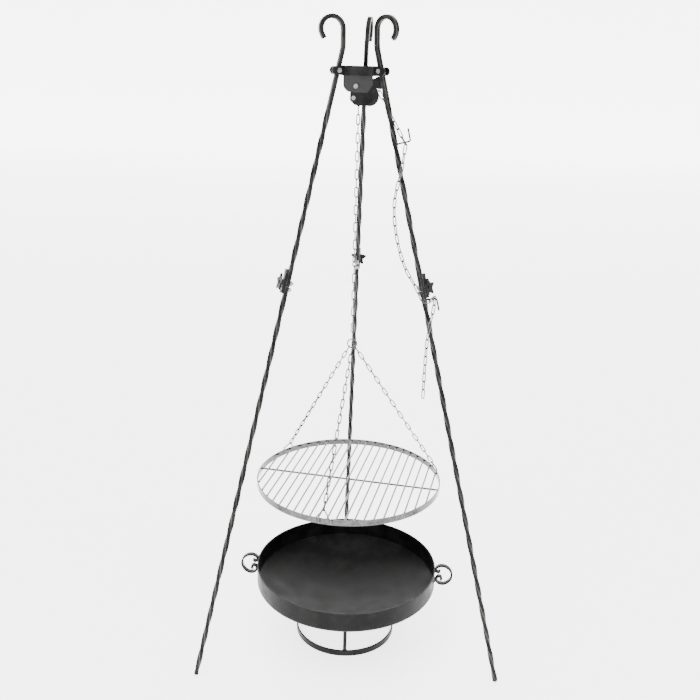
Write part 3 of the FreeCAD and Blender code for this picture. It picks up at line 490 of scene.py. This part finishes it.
# 0.2 mm nearer to the plane of the leg than the faces of the ear plates in the frame
EAR_OUTSIDE = 0.0097
EAR_INSIDE = 0.0057
EAR_WELD_RISE = 0.009
WELD_LIFT = 0.0004
WASHER_RADIUS = 0.0067
WASHER_THICK = 0.0008
THREAD_RADIUS = 0.0030
SCREW_THREAD_LONG = 0.0036
BOLT_THREAD_LONG = 0.0026
SCREW_START = -0.011
BOLT_START = -0.010
BOLT_DROP = SCREW_DROP + 0.0155
SPLICE_WELD_OUT = 0.0056
SPLICE_WELD_ASIDE = 0.0052
SPLICE_WELD_ENDS = (0.012, 0.033)
for name, azimuth in LEGS.items():
    seams = []
    for hand in (1, -1):
        for face, lift, swell in ((EAR_OUTSIDE, WELD_LIFT, 0.0015), (EAR_INSIDE, -WELD_LIFT, 0.0008)):
            away = math.sqrt(RING_OUTSIDE ** 2 - face ** 2) + WELD_LIFT
            shift = hand * (face + lift)
            ends = [on_head(azimuth, away, shift, rise) for rise in (-EAR_WELD_RISE, EAR_WELD_RISE)]
            seams.append(bead(line_points(*ends), swell))
    finish_piece(name + "_ear_welds", *gather(seams), "black_steel", "head")
    hinge = UP.cross(outward(azimuth + HEAD_TURN))
    pin = on_head(azimuth, PIVOT_RADIUS, 0, 0)
    washers = [
        washer_mesh(pin + hinge * EAR_OUTSIDE * hand, hinge * hand, WASHER_RADIUS, WASHER_THICK)
        for hand in (1, -1)
    ]
    finish_piece(name + "_pivot_washers", *gather(washers), "black_steel", "head", smooth=False)

    out = leg_axes(azimuth)[0]
    screw_end = on_leg(azimuth, SCREW_START, 0, -SCREW_DROP)
    thread = thread_mesh(screw_end, out * -1, THREAD_RADIUS, 0, SCREW_THREAD_LONG)
    finish_piece(name + "_screw_thread", *thread, "zinc", "star_" + name)
    bolt_end = on_leg(azimuth, BOLT_START, 0, -BOLT_DROP)
    thread = thread_mesh(bolt_end, out * -1, THREAD_RADIUS, 0, BOLT_THREAD_LONG)
    finish_piece(name + "_bolt_thread", *thread, "zinc", "leg_" + name)
    flank = []
    for hand in (1, -1):
        aside = hand * SPLICE_WELD_ASIDE
        ends = [on_leg(azimuth, SPLICE_WELD_OUT, aside, rise - SCREW_DROP) for rise in SPLICE_WELD_ENDS]
        flank.append(bead(line_points(*ends)))
    finish_piece(name + "_splice_welds", *gather(flank), "forged_steel", "leg_" + name)

# beads at the roots of the two pegs
PEG_TURN = math.radians(13)
UPPER_PEG_DROP = 0.1694
UPPER_ROOT = 0.0064
LOWER_PEG_DROP = 0.5465
LOWER_ROOT = 0.0056
PEG_BEAD_CIRCLE = 0.0021
upper_root = on_leg(
    LEGS["right"], UPPER_ROOT * math.cos(PEG_TURN), UPPER_ROOT * math.sin(PEG_TURN), -UPPER_PEG_DROP
)
out, across, along = leg_axes(LEGS["right"])
upper_axis = out * math.cos(PEG_TURN) + across * math.sin(PEG_TURN)
lower_root = on_leg(LEGS["right"], LOWER_ROOT, 0, -LOWER_PEG_DROP)
beads = [bead(circle_points(root, axis, PEG_BEAD_CIRCLE), 0.0012, True)
         for root, axis in ((upper_root, upper_axis), (lower_root, out))]
finish_piece("peg_welds", *gather(beads), "black_steel", "leg_right")

# ---------------------------------------------------------------- welds of the grate
GRATE_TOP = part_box("grate_rim")[1][2]
BAR_END_CIRCLE = 0.2468
RIM_BEAD_CIRCLE = 0.2505
BAR_AZIMUTH = 77.0
BAR_PITCH = 0.0227
BAR_RADIUS = 0.00225
BARS_EACH_SIDE = 10
BAR_DROP = 0.0045
# 2 degrees past the wire loops of the frame, which stand at 15, 135 and 255 degrees
LOOP_WELD_AZIMUTHS = (17.0, 137.0, 257.0)
LOOP_HALF = 0.016
LOOP_BEAD_ASIDE = 0.0013
LOOP_BEAD_ENDS = (-0.0118, -0.0012)
bar_height = GRATE_TOP - BAR_DROP
blobs = []
for index in range(-BARS_EACH_SIDE, BARS_EACH_SIDE + 1):
    aside = index * BAR_PITCH
    half = math.sqrt(BAR_END_CIRCLE ** 2 - (abs(aside) + BAR_RADIUS) ** 2)
    for hand in (1, -1):
        at = round_axis(BAR_AZIMUTH, hand * (half - 0.0006), aside, bar_height)
        size = 0.0030 + 0.0006 * random.random()
        blobs.append(blob_mesh(at, (size * 1.1, size, size * 0.9)))
finish_piece("bar_end_welds", *gather(blobs), "stainless", "grate")

loop_beads = []
for azimuth in LOOP_WELD_AZIMUTHS:
    for hand in (1, -1):
        for flank in (-LOOP_BEAD_ASIDE, LOOP_BEAD_ASIDE):
            aside = hand * LOOP_HALF + flank
            away = math.sqrt(RIM_BEAD_CIRCLE ** 2 - aside ** 2)
            ends = [round_axis(azimuth, away, aside, GRATE_TOP + rise) for rise in LOOP_BEAD_ENDS]
            loop_beads.append(bead(line_points(*ends), 0.0011))
finish_piece("rim_loop_welds", *gather(loop_beads), "stainless", "grate")


# ---------------------------------------------------------------- welds of the bowl
BOWL_RADIUS = 0.251
HANDLE_TURN = 5.5
HANDLE_HEIGHT = 0.19
HANDLE_WIDE = 0.011
HANDLE_BEAD_RISE = 0.005
handle_beads = []
for azimuth in (-HANDLE_TURN, 180.0 - HANDLE_TURN):
    for hand in (1, -1):
        aside = hand * (HANDLE_WIDE / 2 - 0.0002)
        for middle, gap, swell in ((0.015, 0.0004, 0.0014), (-0.0152, 0.0010, 0.0018)):
            height = HANDLE_HEIGHT + middle
            ends = [
                round_axis(azimuth, BOWL_RADIUS + gap, aside, height + rise)
                for rise in (-HANDLE_BEAD_RISE, HANDLE_BEAD_RISE)
            ]
            handle_beads.append(bead(line_points(*ends), swell))
finish_piece("handle_welds", *gather(handle_beads), "bowl_black", "fire_bowl")

POST_CIRCLE = 0.137
FOOT_TALL = 0.0165
POST_RADIUS = 0.005
post_beads = []
for azimuth in (270.0, 30.0, 150.0):
    centre = round_axis(azimuth, POST_CIRCLE, 0, FOOT_TALL + 0.0006)
    post_beads.append(bead(circle_points(centre, UP, POST_RADIUS + 0.0004, 72), 0.0014, True))
finish_piece("post_welds", *gather(post_beads), "black_steel", "fire_bowl")


# ---------------------------------------------------------------- stage, light and camera
FLOOR_HALF = 30
FLOOR_GLOW = 3.1
SCREEN_SIZE = 14
SCREEN_GLOW = 3.5


def stage_floor():
    """Pale glowing floor, so that it renders nearly as bright as the backdrop."""
    mesh = bpy.data.meshes.new("floor")
    corners = [(-FLOOR_HALF, -FLOOR_HALF, 0), (FLOOR_HALF, -FLOOR_HALF, 0),
               (FLOOR_HALF, FLOOR_HALF, 0), (-FLOOR_HALF, FLOOR_HALF, 0)]
    mesh.from_pydata(corners, [], [(0, 1, 2, 3)])
    floor = bpy.data.objects.new("floor", mesh)
    bpy.context.scene.collection.objects.link(floor)
    shader = Shader("pale_floor")
    shader.bsdf.inputs["Base Color"].default_value = (0.9, 0.9, 0.9, 1)
    shader.bsdf.inputs["Roughness"].default_value = 0.9
    shader.bsdf.inputs["Emission Color"].default_value = (1, 1, 1, 1)
    shader.bsdf.inputs["Emission Strength"].default_value = FLOOR_GLOW
    mesh.materials.append(shader.material)


def stage_backdrop():
    """White glowing screen far behind the object."""
    mesh = bpy.data.meshes.new("backdrop")
    corners = [(-SCREEN_SIZE, SCREEN_SIZE, 0), (SCREEN_SIZE, SCREEN_SIZE, 0),
               (SCREEN_SIZE, SCREEN_SIZE, SCREEN_SIZE), (-SCREEN_SIZE, SCREEN_SIZE, SCREEN_SIZE)]
    mesh.from_pydata(corners, [], [(0, 1, 2, 3)])
    screen = bpy.data.objects.new("backdrop", mesh)
    bpy.context.scene.collection.objects.link(screen)
    shader = Shader("white_screen")
    shader.bsdf.inputs["Base Color"].default_value = (0.9, 0.9, 0.9, 1)
    shader.bsdf.inputs["Emission Color"].default_value = (1, 1, 1, 1)
    shader.bsdf.inputs["Emission Strength"].default_value = SCREEN_GLOW
    mesh.materials.append(shader.material)


def studio_world():
    """Soft light from above and from the viewer's side, with darker flanks that outline bright metal."""
    world = bpy.data.worlds.new("studio")
    bpy.context.scene.world = world
    world.use_nodes = True
    tree = world.node_tree
    coordinates = tree.nodes.new("ShaderNodeTexCoord")
    split = tree.nodes.new("ShaderNodeSeparateXYZ")
    tree.links.new(coordinates.outputs["Generated"], split.inputs["Vector"])
    strengths = []
    for axis, low, high, to_low, to_high in (("Y", -0.85, -0.15, 0.8, 0.0), ("Z", 0.25, 0.85, 0.12, 1.1)):
        ramp = tree.nodes.new("ShaderNodeMapRange")
        ramp.interpolation_type = "SMOOTHSTEP"
        ramp.inputs["From Min"].default_value = low
        ramp.inputs["From Max"].default_value = high
        ramp.inputs["To Min"].default_value = to_low
        ramp.inputs["To Max"].default_value = to_high
        tree.links.new(split.outputs[axis], ramp.inputs["Value"])
        strengths.append(ramp.outputs["Result"])
    total = tree.nodes.new("ShaderNodeMath")
    total.operation = "ADD"
    tree.links.new(strengths[0], total.inputs[0])
    tree.links.new(strengths[1], total.inputs[1])
    tree.links.new(total.outputs["Value"], tree.nodes["Background"].inputs["Strength"])
    tree.nodes["Background"].inputs["Color"].default_value = (1, 1, 1, 1)


def lamp(name, kind, location, target, power, **values):
    data = bpy.data.lights.new(name, kind)
    data.energy = power
    for key, value in values.items():
        setattr(data, key, value)
    light = bpy.data.objects.new(name, data)
    light.location = location
    direction = Vector(target) - Vector(location)
    light.rotation_euler = direction.to_track_quat("-Z", "Y").to_euler()
    bpy.context.scene.collection.objects.link(light)


stage_floor()
stage_backdrop()
studio_world()
lamp("sky_light", "SUN", (-1.2, -1.4, 6.0), (0, 0, 0), 2.2, angle=math.radians(50))
lamp("left_box", "AREA", (-2.6, -2.2, 2.2), (0, 0, 1.0), 60, shape="RECTANGLE", size=0.7, size_y=2.4)
lamp("right_box", "AREA", (2.8, -1.8, 2.0), (0, 0, 1.0), 40, shape="RECTANGLE", size=0.6, size_y=2.4)


def camera():
    """Eye-level view between the two front legs, looking down a little and tipped slightly to one side."""
    place = (-0.027, -2.2, 1.56)
    pitch, roll, yaw = 0.315, 0.026, -0.0099
    right = Vector((math.cos(yaw), math.sin(yaw), 0))
    ahead = Vector((-math.sin(yaw) * math.cos(pitch), math.cos(yaw) * math.cos(pitch), -math.sin(pitch)))
    up = right.cross(ahead)
    x_axis = right * math.cos(roll) + up * math.sin(roll)
    y_axis = up * math.cos(roll) - right * math.sin(roll)
    data = bpy.data.cameras.new("camera")
    data.sensor_width = 36.0
    data.lens = 45.51
    data.clip_end = 100
    eye = bpy.data.objects.new("camera", data)
    basis = Matrix((x_axis, y_axis, -ahead)).transposed().to_4x4()
    eye.matrix_world = Matrix.Translation(place) @ basis
    bpy.context.scene.collection.objects.link(eye)
    bpy.context.scene.camera = eye


camera()
bpy.context.view_layer.update()
